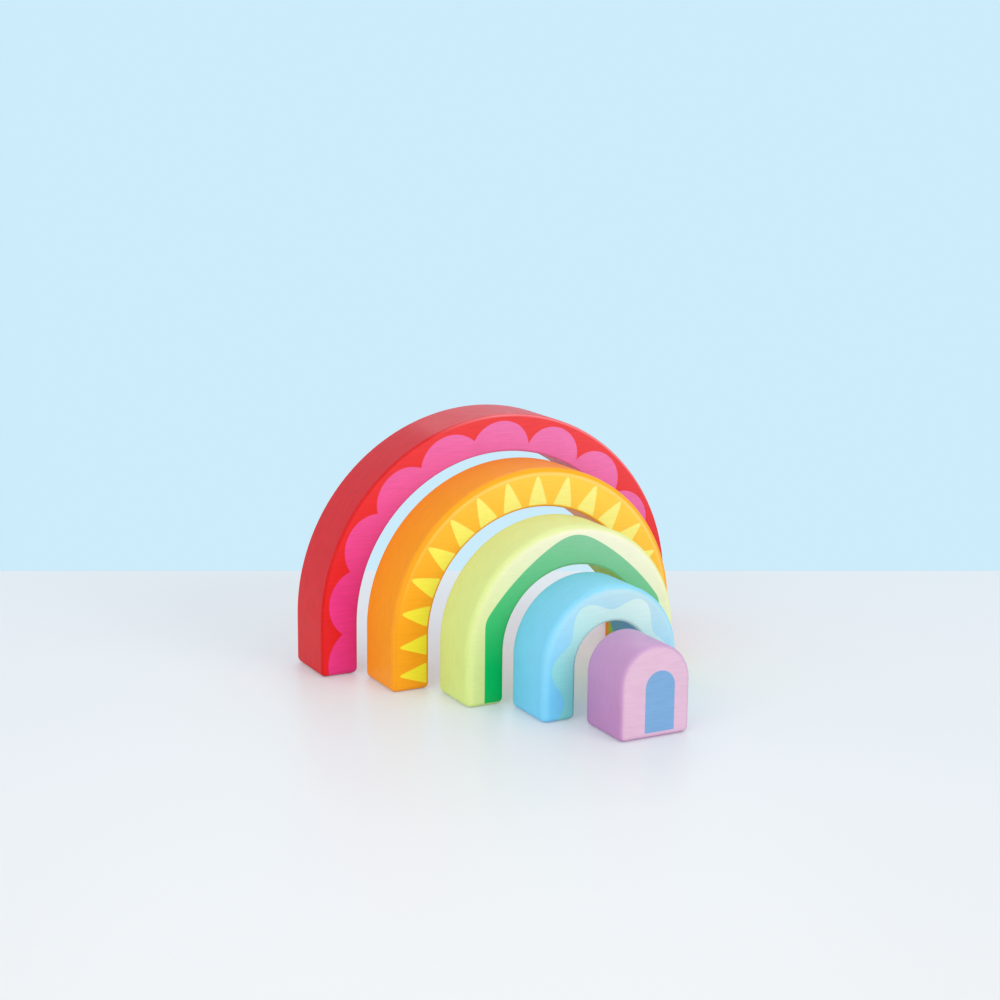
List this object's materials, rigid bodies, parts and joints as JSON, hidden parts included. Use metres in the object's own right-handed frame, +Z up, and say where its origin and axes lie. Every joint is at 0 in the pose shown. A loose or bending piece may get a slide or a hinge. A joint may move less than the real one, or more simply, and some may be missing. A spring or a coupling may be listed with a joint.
{
  "type": "wooden rainbow tunnel",
  "caption": "Nesting wooden rainbow set out as a tunnel: round arches on straight legs and a round-topped block in front, which slide back into one another.",
  "frame": {"origin": "on the table, below the middle of the row of pieces", "axes": "+X across the arches, +Y from the block back to the largest arch, +Z up"},
  "size_m": [0.2, 0.1816, 0.1255],
  "materials": {
    "red_paint": "solid wood with a satin red paint, pink print on the front",
    "orange_paint": "solid wood with a satin orange paint, yellow print on the front",
    "green_paint": "solid wood with a satin pale green paint, deep green print on the front",
    "blue_paint": "solid wood with a satin sky blue paint, pale teal print on the front",
    "purple_paint": "solid wood with a satin purple paint, blue print on the front"
  },
  "bodies": {
    "red_arch": {"red_arch": "red_paint"},
    "orange_arch": {"orange_arch": "orange_paint"},
    "green_arch": {"green_arch": "green_paint"},
    "blue_arch": {"blue_arch": "blue_paint"},
    "purple_block": {"purple_block": "purple_paint"}
  },
  "joints": [
    {"name": "orange_slide", "type": "slide", "parent": "red_arch", "child": "orange_arch", "axis": [0, 1, 0], "range_m": [0, 0.0375]},
    {"name": "green_slide", "type": "slide", "parent": "red_arch", "child": "green_arch", "axis": [0, 1, 0], "range_m": [0, 0.075]},
    {"name": "blue_slide", "type": "slide", "parent": "red_arch", "child": "blue_arch", "axis": [0, 1, 0], "range_m": [0, 0.1105]},
    {"name": "purple_slide", "type": "slide", "parent": "red_arch", "child": "purple_block", "axis": [0, 1, 0], "range_m": [0, 0.1495]}
  ]
}
